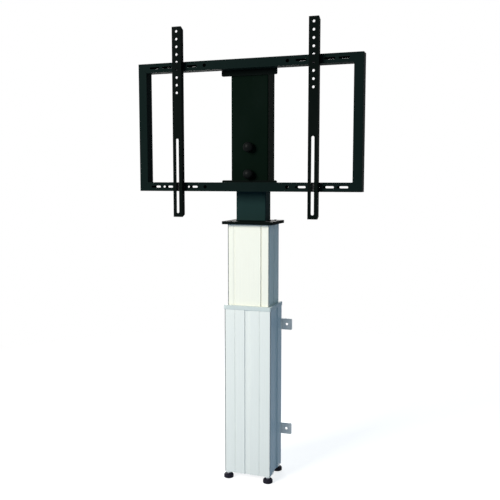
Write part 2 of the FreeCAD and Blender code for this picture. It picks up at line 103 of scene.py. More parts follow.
# Die lines of an extrusion: long streaks up the length, in tone, roughness and height.
die_lines, given, made = effect_group(
    "die_lines",
    [("Colour", "NodeSocketColor", (0.8, 0.8, 0.8, 1)), ("Streak Colour", "NodeSocketColor", (0.7, 0.7, 0.7, 1)),
     ("Streaks per Metre", "NodeSocketFloat", 900.0), ("Smoothest", "NodeSocketFloat", 0.35),
     ("Roughest", "NodeSocketFloat", 0.5)],
    [("Colour", "NodeSocketColor"), ("Roughness", "NodeSocketFloat"), ("Height", "NodeSocketFloat")])
streak = stretched_noise(die_lines, given.outputs["Streaks per Metre"], 4.0, (1, 1, 0.004))
streak_mask = spread(die_lines, streak, 0.35, 0.7)
streaked = blend_colours(die_lines, streak_mask, given.outputs["Colour"], given.outputs["Streak Colour"])
roughness = spread(die_lines, streak, 0.3, 0.7, given.outputs["Smoothest"], given.outputs["Roughest"])
die_lines.links.new(streaked, made.inputs["Colour"])
die_lines.links.new(roughness, made.inputs["Roughness"])
die_lines.links.new(streak, made.inputs["Height"])

# Handling marks: soft clouds of dust and finger grease that shift the tone over a hand's breadth.
handling, given, made = effect_group(
    "handling_marks",
    [("Colour", "NodeSocketColor", (0.8, 0.8, 0.8, 1)), ("Mark Colour", "NodeSocketColor", (0.7, 0.7, 0.7, 1)),
     ("Marks per Metre", "NodeSocketFloat", 9.0), ("Amount", "NodeSocketFloat", 0.5)],
    [("Colour", "NodeSocketColor")])
cloud = stretched_noise(handling, given.outputs["Marks per Metre"], 5.0, (1, 1, 0.6))
cloud_mask = times(handling, spread(handling, cloud, 0.45, 0.75), given.outputs["Amount"])
marked = blend_colours(handling, cloud_mask, given.outputs["Colour"], given.outputs["Mark Colour"])
handling.links.new(marked, made.inputs["Colour"])

# Worn edges: the mask rises where a corner turns within the given width, broken up by a fine noise.
worn_edge, given, made = effect_group(
    "worn_edge",
    [("Width", "NodeSocketFloat", 0.001), ("Amount", "NodeSocketFloat", 0.5)],
    [("Mask", "NodeSocketFloat")])
rounded = worn_edge.nodes.new("ShaderNodeBevel")
rounded.samples = 4
flat = worn_edge.nodes.new("ShaderNodeNewGeometry")
turn = worn_edge.nodes.new("ShaderNodeVectorMath")
turn.operation = "DOT_PRODUCT"
worn_edge.links.new(given.outputs["Width"], rounded.inputs["Radius"])
worn_edge.links.new(rounded.outputs["Normal"], turn.inputs[0])
worn_edge.links.new(flat.outputs["Normal"], turn.inputs[1])
corner_mask = spread(worn_edge, turn.outputs["Value"], 0.98, 0.8)
broken = stretched_noise(worn_edge, 160.0, 4.0)
patchy = times(worn_edge, corner_mask, spread(worn_edge, broken, 0.4, 0.6))
worn_edge.links.new(times(worn_edge, patchy, given.outputs["Amount"]), made.inputs["Mask"])

# Painted corner shade: a dark line painted where the section's corners turn, standing in for shade on the rounded
# corners; the mask rises where they turn.
painted_corner_shade, given, made = effect_group(
    "painted_corner_shade", [("Amount", "NodeSocketFloat", 0.5)], [("Mask", "NodeSocketFloat")])
where = painted_corner_shade.nodes.new("ShaderNodeTexCoord")
apart = painted_corner_shade.nodes.new("ShaderNodeSeparateXYZ")
painted_corner_shade.links.new(where.outputs["Normal"], apart.inputs[0])
both = times(painted_corner_shade, apart.outputs["X"], apart.outputs["Y"])
turned = spread(painted_corner_shade, times(painted_corner_shade, both, both), 0.06, 0.12)
painted_corner_shade.links.new(times(painted_corner_shade, turned, given.outputs["Amount"]), made.inputs["Mask"])


def new_finish(name, **constants):
    finish = bpy.data.materials.new(name)
    finish.use_nodes = True
    shader = finish.node_tree.nodes["Principled BSDF"]
    for label, value in constants.items():
        shader.inputs[label.replace("_", " ")].default_value = value
    return finish, finish.node_tree, shader


def place_effect(tree, group, **values):
    node = tree.nodes.new("ShaderNodeGroup")
    node.node_tree = group
    for label, value in values.items():
        feed(tree, value, node.inputs[label.replace("_", " ")])
    return node


def raise_surface(tree, shader, height, strength, distance):
    bump = tree.nodes.new("ShaderNodeBump")
    bump.inputs["Strength"].default_value = strength
    bump.inputs["Distance"].default_value = distance
    tree.links.new(height, bump.inputs["Height"])
    tree.links.new(bump.outputs["Normal"], shader.inputs["Normal"])


def anodised_finish(name, colour, streak_colour, mark_colour):
    bright_edge, painted_corner_shade_colour = (0.9, 0.91, 0.9, 1), (0.08, 0.087, 0.093, 1)
    finish, tree, shader = new_finish(name, Specular_IOR_Level=0.05)
    grain = place_effect(tree, die_lines, Colour=colour, Streak_Colour=streak_colour, Streaks_per_Metre=900.0,
                         Smoothest=0.34, Roughest=0.5)
    marks = place_effect(tree, handling, Colour=grain.outputs["Colour"], Mark_Colour=mark_colour,
                         Marks_per_Metre=7.0, Amount=0.35)
    bare = place_effect(tree, worn_edge, Width=0.0012, Amount=0.5)
    rubbed = blend_colours(tree, bare.outputs["Mask"], marks.outputs["Colour"], bright_edge)
    # The corners get a painted shade line, darker where the section turns.
    corner = place_effect(tree, painted_corner_shade, Amount=1.0)
    corner_shaded = blend_colours(tree, corner.outputs["Mask"], rubbed, painted_corner_shade_colour)
    tree.links.new(corner_shaded, shader.inputs["Base Color"])
    tree.links.new(grain.outputs["Roughness"], shader.inputs["Roughness"])
    raise_surface(tree, shader, grain.outputs["Height"], strength=0.12, distance=0.0003)
    return finish


def notched_outline(width, depth, tight, full, front_notches=(), side_notches=()):
    """A section's outline. Notches are (middle, half width, depth), and "ramp" makes one slope in from its left.

    Three corners have the tight radius and the front left one the full radius.
    """
    lip, corner_steps = 0.0004, 6

    def along(notches):
        run = []
        for middle, half, deep, *ramp in sorted(notches):
            step = [(-half - lip, 0), (-half - 0.3 * lip, 0.3 * lip), (-half, lip), (-half, deep)]
            slope = [(-half, 0), (lip - half, lip * deep / half / 2), (half - lip, deep)]
            entry = slope if ramp else step
            run += [(middle + across, inward) for across, inward in entry]
            run += [(middle - across, inward) for across, inward in reversed(step)]
        return run

    x, y = width / 2, depth / 2
    front, side = along(front_notches), along(side_notches)
    faces = [[(across, inward - y) for across, inward in front], [(x - inward, across) for across, inward in side],
             [(-across, y - inward) for across, inward in front], [(inward - x, -across) for across, inward in side]]
    corners = [(x - tight, tight - y, tight), (x - tight, y - tight, tight), (tight - x, y - tight, tight),
               (full - x, full - y, full)]
    outline = []
    for quarter, (face, (centre_x, centre_y, radius)) in enumerate(zip(faces, corners)):
        outline += face
        for step in range(corner_steps + 1):
            angle = (quarter - 1) * pi / 2 + step * pi / (2 * corner_steps)
            outline.append((centre_x + radius * cos(angle), centre_y + radius * sin(angle)))
    return outline


def new_piece(name, build, finish, body, slot, *nodes):
    """The built mesh as a piece with its finish, riding on its body in place of the CAD nodes."""
    mesh = bpy.data.meshes.new(name)
    bmesh.ops.recalc_face_normals(build, faces=build.faces)
    build.to_mesh(mesh)
    build.free()
    mesh.shade_smooth()
    mesh.set_sharp_from_angle(angle=radians(32))
    mesh.materials.append(finish)
    piece = bpy.data.objects.new(name, mesh)
    bpy.context.scene.collection.objects.link(piece)
    even = piece.modifiers.new("even", "WEIGHTED_NORMAL")
    even.keep_sharp = True
    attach(piece, body)
    if nodes:
        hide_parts(*nodes)
    return piece


def sawn_length(outline, opening, levels, middle):
    """A hollow length of section: levels are (height, how far the outline is drawn in)."""
    build = bmesh.new()
    reach_x, reach_y = max(x for x, y in outline), max(y for x, y in outline)
    rings = []
    for height, drawn in levels:
        shrink_x, shrink_y = 1 - drawn / reach_x, 1 - drawn / reach_y
        rings.append([build.verts.new((x * shrink_x, y * shrink_y + middle, height)) for x, y in outline])
    bores = []
    for height, drawn in (levels[0], levels[-1]):
        bores.append([build.verts.new((x, y + middle, height)) for x, y in opening])
    for run in (rings, bores):
        for lower, upper in zip(run, run[1:]):
            for index in range(len(lower)):
                following = (index + 1) % len(lower)
                build.faces.new((lower[index], lower[following], upper[following], upper[index]))
    for outer_ring, bore_ring in ((rings[0], bores[0]), (rings[-1], bores[-1])):
        edges = []
        for ring in (outer_ring, bore_ring):
            edges += [build.edges.get((ring[i], ring[(i + 1) % len(ring)])) for i in range(len(ring))]
        bmesh.ops.triangle_fill(build, edges=edges, use_beauty=True)
    return build


def turned_form(build, place, rings, steps=40, closed=False):
    """A form turned about the local Z axis: rings are (radius, height) or (radius, height, "hex" or "flutes")."""
    flutes, flute_deep = 10, 0.0009
    loops = []
    for ring in rings:
        radius, height = ring[0], ring[1]
        shape = ring[2] if len(ring) > 2 else None
        if radius == 0:
            loops.append([build.verts.new(place @ Vector((0, 0, height)))])
            continue
        loop = []
        for step in range(steps):
            angle = 2 * pi * step / steps
            reach = radius
            if shape == "hex":
                reach = radius / cos((angle + pi / 6) % (pi / 3) - pi / 6)
            elif shape == "flutes":
                reach = radius - flute_deep * max(0.0, cos(flutes * angle)) ** 2
            loop.append(build.verts.new(place @ Vector((reach * cos(angle), reach * sin(angle), height))))
        loops.append(loop)
    pairs = list(zip(loops, loops[1:]))
    if closed:
        pairs.append((loops[-1], loops[0]))
    for lower, upper in pairs:
        for step in range(steps):
            following = (step + 1) % steps
            corners = [lower[step % len(lower)], lower[following % len(lower)],
                       upper[following % len(upper)], upper[step % len(upper)]]
            build.faces.new(list(dict.fromkeys(corners)))


def facing(point, direction):
    """A place whose local Z axis points in the direction."""
    return Matrix.Translation(point) @ Vector(direction).to_track_quat("Z", "Y").to_matrix().to_4x4()


def bore(piece, place, radius, length):
    """Cuts a round hole through the piece."""
    build = bmesh.new()
    turned_form(build, place, [(0, 0), (radius, 0), (radius, length), (0, length)])
    bmesh.ops.recalc_face_normals(build, faces=build.faces)
    mesh = bpy.data.meshes.new("drill")
    build.to_mesh(mesh)
    build.free()
    drill = bpy.data.objects.new("drill", mesh)
    bpy.context.scene.collection.objects.link(drill)
    cut = piece.modifiers.new("bore", "BOOLEAN")
    cut.object = drill
    cut.solver = "EXACT"
    bpy.context.view_layer.update()
    drilled = bpy.data.meshes.new_from_object(piece.evaluated_get(bpy.context.evaluated_depsgraph_get()))
    piece.modifiers.remove(cut)
    piece.data = drilled
    bpy.data.objects.remove(drill)


outer_finish = anodised_finish("outer_column_anodising", colour=(0.825, 0.84, 0.78, 1),
                               streak_colour=(0.765, 0.78, 0.73, 1), mark_colour=(0.745, 0.76, 0.715, 1))
low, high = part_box("outer_column")
column_y = (low.y + high.y) / 2
outer_width, outer_depth = high.x - low.x, high.y - low.y
column_wall, bore_corner, sawn_edge = 0.004, 0.003, 0.0005
tight_corner, full_corner = 0.0022, 0.0062
fine_at, fine_half, fine_deep = 0.044, 0.0007, 0.0009
recess_half, recess_deep = 0.009, 0.0024
side_half, side_deep = 0.020, 0.0034


def column_length(low, high, front_notches, side_notches):
    width, depth = high.x - low.x, high.y - low.y
    outline = notched_outline(width, depth, tight_corner, full_corner, front_notches, side_notches)
    opening = notched_outline(width - 2 * column_wall, depth - 2 * column_wall, bore_corner, bore_corner)
    levels = [(low.z, sawn_edge), (low.z + sawn_edge, 0), (high.z - sawn_edge, 0), (high.z, sawn_edge)]
    return sawn_length(outline, opening, levels, column_y)


build = column_length(low, high, [(-fine_at, fine_half, fine_deep), (0, recess_half, recess_deep),
                                  (fine_at, fine_half, fine_deep)], [(0, side_half, side_deep)])
outer_column = new_piece("outer_column_extrusion", build, outer_finish, "column_base", "anodised_aluminium",
                         "outer_column")
cable_radius, drill_length = 0.009, 0.02
outer_back = outer_depth / 2 + column_y
cable_low, cable_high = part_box("cable_grommet")
cable_level = (cable_low.z + cable_high.z) / 2
bore(outer_column, facing(Vector((0, outer_back - drill_length / 2, cable_level)), (0, 1, 0)), cable_radius,
     drill_length)


# Collar: the moulded end ring of the outer column, in a blue-grey plastic a shade darker than the aluminium.
# It stands slightly proud all round, has rounded rims, and wipes the inner column as it slides.

# Fine skin: the small grain that a mould, a casting or a baked powder coat leaves, in height and roughness.
fine_skin, given, made = effect_group(
    "fine_skin",
    [("Grains per Metre", "NodeSocketFloat", 900.0), ("Detail", "NodeSocketFloat", 2.0),
     ("Smoothest", "NodeSocketFloat", 0.4), ("Roughest", "NodeSocketFloat", 0.6)],
    [("Height", "NodeSocketFloat"), ("Roughness", "NodeSocketFloat")])
grains = stretched_noise(fine_skin, given.outputs["Grains per Metre"], given.outputs["Detail"])
roughness = spread(fine_skin, grains, 0.3, 0.7, given.outputs["Smoothest"], given.outputs["Roughest"])
fine_skin.links.new(grains, made.inputs["Height"])
fine_skin.links.new(roughness, made.inputs["Roughness"])


def skin_over(tree, shader, grains_per_metre, detail, roughness, strength, distance):
    smoothest, roughest = roughness
    skin = place_effect(tree, fine_skin, Grains_per_Metre=grains_per_metre, Detail=detail, Smoothest=smoothest,
                        Roughest=roughest)
    tree.links.new(skin.outputs["Roughness"], shader.inputs["Roughness"])
    raise_surface(tree, shader, skin.outputs["Height"], strength, distance)


def moulded_finish(name, colour, mark_colour, roughness, specular):
    finish, tree, shader = new_finish(name, Specular_IOR_Level=specular)
    marks = place_effect(tree, handling, Colour=colour, Mark_Colour=mark_colour, Marks_per_Metre=30.0, Amount=0.5)
    tree.links.new(marks.outputs["Colour"], shader.inputs["Base Color"])
    skin_over(tree, shader, grains_per_metre=1600.0, detail=2.0, roughness=roughness, strength=0.15,
              distance=0.0002)
    return finish


collar_finish = moulded_finish("collar_moulding", colour=(0.593, 0.645, 0.612, 1),
                               mark_colour=(0.525, 0.575, 0.55, 1), roughness=(0.42, 0.55), specular=0.2)
low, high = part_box("outer_collar")
collar_width, collar_depth = high.x - low.x, high.y - low.y
collar_wall, collar_corner, collar_bore_corner = 0.0104, 0.005, 0.0036
foot_edge, rim = 0.0006, 0.0016
outline = notched_outline(collar_width, collar_depth, collar_corner, collar_corner)
opening = notched_outline(collar_width - 2 * collar_wall, collar_depth - 2 * collar_wall, collar_bore_corner,
                          collar_bore_corner)
build = sawn_length(outline, opening,
                    [(low.z, foot_edge), (low.z + foot_edge, 0), (high.z - rim, 0),
                     (high.z - 0.6 * rim, 0.12 * rim), (high.z - 0.2 * rim, 0.45 * rim), (high.z, rim)],
                    (low.y + high.y) / 2)
new_piece("outer_collar_ring", build, collar_finish, "column_base", "grey_plastic", "outer_collar")


# Base plate and lifting drive: a cast plate in the column's foot carries the gearbox, motor and spindle bearing.
# They sit inside the column: the castings keep their foundry skin and the motor can is plated steel.

def dress(name, finish, rounding=0.0):
    """Gives a CAD node its finish and, where a rounding is given, softened edges."""
    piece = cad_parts[name]
    piece.data.materials.clear()
    piece.data.materials.append(finish)
    if rounding:
        join = piece.modifiers.new("join", "WELD")
        join.merge_threshold = 0.00001
        flatten = piece.modifiers.new("flatten", "DECIMATE")
        flatten.decimate_type = "DISSOLVE"
        flatten.angle_limit = radians(0.5)
        soften = piece.modifiers.new("soften", "BEVEL")
        soften.width = rounding
        soften.segments = 2
        soften.limit_method = "ANGLE"
        soften.angle_limit = radians(40)
        soften.miter_outer = "MITER_ARC"
        even = piece.modifiers.new("even", "WEIGHTED_NORMAL")
        even.keep_sharp = False


def metal_finish(name, colour, mark_colour, roughness, metallic, grains_per_metre=900.0, strength=0.1):
    finish, tree, shader = new_finish(name, Metallic=metallic, Specular_IOR_Level=0.4)
    marks = place_effect(tree, handling, Colour=colour, Mark_Colour=mark_colour, Marks_per_Metre=45.0, Amount=0.6)
    tree.links.new(marks.outputs["Colour"], shader.inputs["Base Color"])
    skin_over(tree, shader, grains_per_metre, detail=3.0, roughness=roughness, strength=strength,
              distance=0.0003)
    return finish


cast_finish = metal_finish("cast_skin", colour=(0.46, 0.47, 0.47, 1), mark_colour=(0.33, 0.34, 0.34, 1),
                           roughness=(0.5, 0.7), metallic=0.5, grains_per_metre=700.0, strength=0.4)
plated_finish = metal_finish("zinc_plating", colour=(0.62, 0.66, 0.67, 1), mark_colour=(0.46, 0.51, 0.53, 1),
                             roughness=(0.32, 0.5), metallic=0.62)
dress("base_plate", cast_finish, rounding=0.0006)
dress("gearbox_housing", cast_finish, rounding=0.0008)
dress("spindle_bearing", plated_finish)
dress("motor_housing", plated_finish)


# Base plate screws: four zinc-plated button heads with hexagon sockets.
# They pass through the outer column's sides and are screwed into the edges of the base plate.

def socket_head(build, seat, direction, radius, height, socket, shank, length):
    """A button head on its seat with a hexagon socket, and its shank behind the seat."""
    place = facing(seat, direction)
    turned_form(build, place, [(0, -length), (shank, -length), (shank, 0), (radius, 0), (radius, 0.25 * height),
                               (0.93 * radius, 0.6 * height), (0.76 * radius, 0.9 * height), (0.6 * radius, height),
                               (socket + 0.0003, height), (socket, 0.92 * height, "hex"),
                               (socket, 0.3 * height, "hex"), (0, 0.2 * height)])


low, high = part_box("base_plate_screws")
small_head = 0.005
screw_level = (low.z + high.z) / 2
screw_reach = (high.y - low.y) / 2 - small_head
build = bmesh.new()
for side in (-1, 1):
    for end in (-1, 1):
        seat = Vector((side * outer_width / 2, column_y + end * screw_reach, screw_level))
        socket_head(build, seat, (side, 0, 0), small_head, height=0.0025, socket=0.0016, shank=0.0025,
                    length=0.014)
new_piece("base_plate_button_screws", build, plated_finish, "column_base", "zinc_steel", "base_plate_screws")


# Levelling feet: a black moulded pad with a rubber sole on a threaded stud, locked by a hexagon nut under the
# base plate. The pads are fluted for turning by hand, the studs' steel is painted dark for the shade they stand in,
# and the nuts are plated.

# Painted shade: the studs' colour is darkened for the shade that falls on them between the pad and the column.
shaded_stud_finish = metal_finish("stud_steel_painted_shade", colour=(0.17, 0.17, 0.21, 1), mark_colour=(0.11, 0.11, 0.14, 1),
                           roughness=(0.45, 0.65), metallic=0.5)
foot_finish = moulded_finish("foot_moulding", colour=(0.010, 0.009, 0.016, 1),
                             mark_colour=(0.02, 0.019, 0.028, 1), roughness=(0.5, 0.7), specular=0.1)


def threaded(start, end, radius, pitch, depth):
    """Rings of a screw thread between two heights, with chamfered ends."""
    rings = [(0, start), (radius - depth, start)]
    height = start + pitch / 2
    while height + pitch < end:
        rings += [(radius - depth, height), (radius, height + 0.4 * pitch), (radius, height + 0.6 * pitch)]
        height += pitch
    return rings + [(radius - depth, height), (radius - depth, end), (0, end)]


def upright_at(low, high, level=0.0):
    """An upright place on the middle line of a box."""
    return Matrix.Translation(((low.x + high.x) / 2, (low.y + high.y) / 2, level))


foot_places = ("front_left", "front_right", "rear_left", "rear_right")
sole_hollow, seam_deep, stud_hole, stud_hole_deep = 0.0008, 0.0008, 0.0052, 0.004
for place in foot_places:
    low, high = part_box("foot_pad_" + place)
    centre = upright_at(low, high)
    radius, top = (high.x - low.x) / 2, high.z
    sole = [(0, sole_hollow), (0.6 * radius, sole_hollow), (0.62 * radius, 0), (radius - 0.0016, 0),
            (radius - 0.0004, 0.0008), (radius, 0.002), (radius - 0.0002, 0.0042)]
    seam = [(radius - seam_deep, 0.0046), (radius - seam_deep, 0.0054)]
    skirt = [(radius, 0.006, "flutes"), (radius, top - 0.0055, "flutes"), (radius - 0.0006, top - 0.0034, "flutes")]
    crown = [(radius - 0.0022, top - 0.0012), (radius - 0.0045, top), (0.0078, top), (0.0070, top - 0.0012),
             (stud_hole, top - 0.0014), (stud_hole, top - stud_hole_deep), (0, top - stud_hole_deep)]
    build = bmesh.new()
    turned_form(build, centre, sole + seam + skirt + crown, steps=60)
    new_piece("foot_" + place, build, foot_finish, "foot_" + place, "foot_rubber", "foot_pad_" + place)
    low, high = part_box("foot_stud_" + place)
    build = bmesh.new()
    turned_form(build, centre, threaded(low.z, high.z, (high.x - low.x) / 2, pitch=0.0015, depth=0.0007), steps=24)
    new_piece("foot_thread_" + place, build, shaded_stud_finish, "foot_" + place, "zinc_steel", "foot_stud_" + place)

low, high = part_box("foot_lock_nuts")
nut_hole, nut_flats, nut_face, nut_edge = 0.0053, 0.0085, 0.0080, 0.0006
tall = high.z - low.z
build = bmesh.new()
for place in foot_places:
    turned_form(build, upright_at(*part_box("foot_stud_" + place), low.z),
                [(nut_hole, 0), (nut_face, 0), (nut_flats, nut_edge, "hex"), (nut_flats, tall - nut_edge, "hex"),
                 (nut_face, tall), (nut_hole, tall)], steps=48, closed=True)
new_piece("foot_hexagon_nuts", build, plated_finish, "column_base", "zinc_steel", "foot_lock_nuts")


# Glide pads: low-friction plastic strips between the two columns, four at the top of the outer column and four
# at the foot of the inner one. They are snapped into the walls.
glide_finish = moulded_finish("glide_plastic", colour=(0.03, 0.03, 0.032, 1), mark_colour=(0.05, 0.05, 0.05, 1),
                              roughness=(0.35, 0.5), specular=0.3)
dress("upper_glide_pads", glide_finish, rounding=0.0004)
dress("lower_glide_pads", glide_finish, rounding=0.0004)


# Lead screw, nut and push tube: the turning spindle lifts a bronze nut, which pushes a tube under the top plate.
# The thread is rolled into a steel bar and runs greased.
bronze_finish = metal_finish("bronze", colour=(0.42, 0.27, 0.12, 1), mark_colour=(0.30, 0.19, 0.09, 1),
                             roughness=(0.3, 0.45), metallic=0.8)
low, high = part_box("lead_screw")
build = bmesh.new()
turned_form(build, upright_at(low, high),
            threaded(low.z, high.z, (high.x - low.x) / 2, pitch=0.004, depth=0.0018), steps=24)
new_piece("lead_screw_thread", build, plated_finish, "spindle", "zinc_steel", "lead_screw")
dress("spindle_nut", bronze_finish)
dress("push_tube", plated_finish)


# Wall brackets: two flat zinc-plated bars across the back of the column, for tying the stand to a wall.
# The ears are punched, and each bar is held by two button-head screws.
bracket_screw_x = 0.022
dress("upper_wall_bracket", plated_finish, rounding=0.0005)
dress("lower_wall_bracket", plated_finish, rounding=0.0005)
build = bmesh.new()
for name in ("upper_wall_bracket", "lower_wall_bracket"):
    low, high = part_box(name)
    for side in (-1, 1):
        seat = Vector((side * bracket_screw_x, high.y, (low.z + high.z) / 2))
        socket_head(build, seat, (0, 1, 0), radius=0.0072, height=0.0052, socket=0.0025, shank=0.004, length=0.006)
new_piece("wall_bracket_button_screws", build, plated_finish, "column_base", "zinc_steel", "wall_bracket_screws")


# Cable grommet: a soft black rubber ring that covers the edge of the hole bored in the column's back.
# It is moulded with a rounded flange outside and a neck that snaps into the wall.
rubber_finish = moulded_finish("soft_rubber", colour=(0.012, 0.012, 0.012, 1),
                               mark_colour=(0.03, 0.03, 0.03, 1), roughness=(0.6, 0.8), specular=0.2)
neck_radius, flange_radius = 0.0088, 0.012
build = bmesh.new()
turned_form(build, facing(Vector((0, outer_back, cable_level)), (0, 1, 0)),
            [(0.006, -column_wall), (neck_radius, -column_wall), (neck_radius, 0), (flange_radius, 0),
             (flange_radius, 0.0009), (0.0113, 0.0017), (0.0098, 0.002), (0.0072, 0.0018), (0.0062, 0.0008)],
            closed=True)
new_piece("cable_grommet_ring", build, rubber_finish, "column_base", "black_plastic", "cable_grommet")


# Inner column: the moving upper half of the lift, a narrower extrusion of the same aluminium that slides up
# through the collar. Its front and back carry a sloped step near one corner and a narrow groove near the other,
# each side has one groove, and the front left corner is fuller.
inner_finish = anodised_finish("inner_column_anodising", colour=(0.905, 0.885, 0.76, 1),
                               streak_colour=(0.855, 0.84, 0.725, 1), mark_colour=(0.835, 0.82, 0.71, 1))
step_at, step_half, step_deep = -0.0501, 0.0036, 0.0017
groove_at, groove_half, groove_deep = 0.0470, 0.0020, 0.0034
build = column_length(*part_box("inner_column"),
                      [(step_at, step_half, step_deep, "ramp"), (groove_at, groove_half, groove_deep)],
                      [(0, groove_half, groove_deep)])
new_piece("inner_column_extrusion", build, inner_finish, "lift_stage", "anodised_aluminium", "inner_column")


# Top plate and mast: a black steel plate screwed on the inner column, with a rectangular tube welded upright on it.
# Both are powder coated after welding, which leaves a fine orange-peel skin; the tube's end has a plastic cap.

def powder_finish(name, colour, mark_colour, worn_colour):
    finish, tree, shader = new_finish(name, Specular_IOR_Level=0.004)
    marks = place_effect(tree, handling, Colour=colour, Mark_Colour=mark_colour, Marks_per_Metre=11.0, Amount=0.6)
    bare = place_effect(tree, worn_edge, Width=0.0014, Amount=0.6)
    rubbed = blend_colours(tree, bare.outputs["Mask"], marks.outputs["Colour"], worn_colour)
    tree.links.new(rubbed, shader.inputs["Base Color"])
    skin_over(tree, shader, grains_per_metre=520.0, detail=2.0, roughness=(0.42, 0.62), strength=0.25,
              distance=0.0003)
    return finish


def weld_run(build, start, end, radius):
    """A laid weld bead between two points: overlapping ripples that taper at the ends."""
    run = end - start
    ripple, rings_each, dip, end_share = 0.0035, 4, 0.16, 1 / 12
    count = rings_each * max(3, round(run.length / ripple))
    rings = [(0, 0)]
    for index in range(1, count):
        share = index / count
        swell = 1 - dip + dip * abs(sin(pi * index / rings_each))
        taper = min(1.0, share / end_share, (1 - share) / end_share) ** 0.5
        rings.append((radius * swell * taper, share * run.length))
    turned_form(build, facing(start, run), rings + [(0, run.length)], steps=10)


powder_black = powder_finish("black_powder_coat", colour=(0.0032, 0.0052, 0.0044, 1),
                             mark_colour=(0.006, 0.008, 0.007, 1), worn_colour=(0.024, 0.03, 0.03, 1))
dress("top_plate", powder_black, rounding=0.0008)
# Painted light: the mast gets a lighter copy of the black powder coat, standing in for the light that falls on it
# from below.
mast_painted_light_black = powder_finish("mast_powder_coat_painted_light", colour=(0.0118, 0.0285, 0.0266, 1),
                           mark_colour=(0.0150, 0.0330, 0.0310, 1), worn_colour=(0.03, 0.05, 0.05, 1))
dress("mast", mast_painted_light_black, rounding=0.0006)
cap_finish = moulded_finish("cap_moulding", colour=(0.007, 0.008, 0.008, 1),
                            mark_colour=(0.014, 0.014, 0.014, 1), roughness=(0.4, 0.55), specular=0.15)
dress("mast_cap", cap_finish, rounding=0.0008)
low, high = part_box("mast")
bead = 0.0028
around = ((low.x, low.y), (high.x, low.y), (high.x, high.y), (low.x, high.y))
corners = [Vector((x, y, low.z)) for x, y in around]
build = bmesh.new()
for start, end in zip(corners, corners[1:] + corners[:1]):
    weld_run(build, start, end, bead)
new_piece("mast_foot_weld", build, powder_black, "lift_stage", "black_powder_coat")


# Top plate screws: four button heads of blackened steel with hexagon sockets.
# They hold the plate down and are screwed into the ports in the inner column's corners.
black_screw_finish = metal_finish("blackened_steel", colour=(0.012, 0.012, 0.013, 1),
                                  mark_colour=(0.03, 0.03, 0.03, 1), roughness=(0.35, 0.5), metallic=0.3)
low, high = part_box("top_plate_screws")
plate_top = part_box("top_plate")[1].z
build = bmesh.new()
for x in (low.x + small_head, high.x - small_head):
    for y in (low.y + small_head, high.y - small_head):
        socket_head(build, Vector((x, y, plate_top)), (0, 0, 1), small_head, height=0.0025, socket=0.0016,
                    shank=0.0025, length=0.017)
new_piece("top_plate_button_screws", build, black_screw_finish, "lift_stage", "zinc_steel", "top_plate_screws")


# Sleeve: a second black tube that slides on the mast on two plastic bushes.
# It is cut from stock tube and coated; a plastic shoe inside presses on the mast when the knobs are turned.
sleeve_black = powder_finish("sleeve_powder_coat", colour=(0.0021, 0.0059, 0.0035, 1),
                             mark_colour=(0.0042, 0.0086, 0.0062, 1), worn_colour=(0.022, 0.03, 0.028, 1))
dress("sleeve", sleeve_black, rounding=0.0006)
dress("lower_sleeve_bush", glide_finish, rounding=0.0005)
dress("upper_sleeve_bush", glide_finish, rounding=0.0005)
dress("clamp_shoe", glide_finish, rounding=0.0006)


# Clamp knobs: two black moulded domes with fluted skirts on steel studs, screwed through turned bosses that are
# welded on the sleeve's front. The domes come satin smooth from the mould.
knob_finish = moulded_finish("knob_moulding", colour=(0.0030, 0.0038, 0.0036, 1),
                             mark_colour=(0.005, 0.006, 0.006, 1), roughness=(0.34, 0.44), specular=0.04)
knob_hole, knob_hole_deep, skirt_tall, dome_foot, dome_steps = 0.0052, 0.008, 0.0078, 0.0090, 8
for level in ("lower", "upper"):
    low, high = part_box(level + "_knob")
    radius, tall = (high.x - low.x) / 2, high.y - low.y
    place = facing(Vector((0, high.y, (low.z + high.z) / 2)), (0, -1, 0))
    rings = [(0, knob_hole_deep), (knob_hole, knob_hole_deep), (knob_hole, 0), (radius - 0.002, 0),
             (radius - 0.0006, 0.0006, "flutes"), (radius, 0.002, "flutes"), (radius, skirt_tall, "flutes")]
    for step in range(dome_steps):
        angle = pi / 2 * step / dome_steps
        rings.append((radius * cos(angle), dome_foot + (tall - dome_foot) * sin(angle)))
    build = bmesh.new()
    turned_form(build, place, rings + [(0, tall)], steps=80)
    new_piece(level + "_clamp_knob", build, knob_finish, level + "_clamp", "black_plastic", level + "_knob")
    dress(level + "_knob_stud", plated_finish)

low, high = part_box("knob_bosses")
boss_radius, boss_foot = 0.0120, 0.0138
tall = high.y - low.y
build = bmesh.new()
for level in ("lower", "upper"):
    knob_low, knob_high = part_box(level + "_knob")
    place = facing(Vector((0, high.y, (knob_low.z + knob_high.z) / 2)), (0, -1, 0))
    turned_form(build, place,
                [(knob_hole, 0), (boss_foot, 0), (0.0130, 0.0010), (boss_radius, 0.0018),
                 (boss_radius, tall - 0.0008), (boss_radius - 0.0008, tall), (knob_hole + 0.0006, tall),
                 (knob_hole, tall - 0.0006)], closed=True)
new_piece("knob_boss_turnings", build, powder_black, "carriage", "black_powder_coat", "knob_bosses")


# Cross plates: two black flat plates welded across the sleeve's front, which carry the screen frame.
# Hexagon bolts pass through them from behind into the rails, beside the sleeve.
dress("lower_cross_plate", powder_black, rounding=0.0008)
dress("upper_cross_plate", powder_black, rounding=0.0008)
sleeve_low, sleeve_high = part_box("sleeve")
weld_short = 0.002
build = bmesh.new()
for name in ("lower_cross_plate", "upper_cross_plate"):
    low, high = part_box(name)
    top = min(high.z, sleeve_high.z)
    for x in (sleeve_low.x, sleeve_high.x):
        weld_run(build, Vector((x, high.y, low.z + weld_short)), Vector((x, high.y, top - weld_short)), bead)
new_piece("cross_plate_welds", build, powder_black, "carriage", "black_powder_coat")


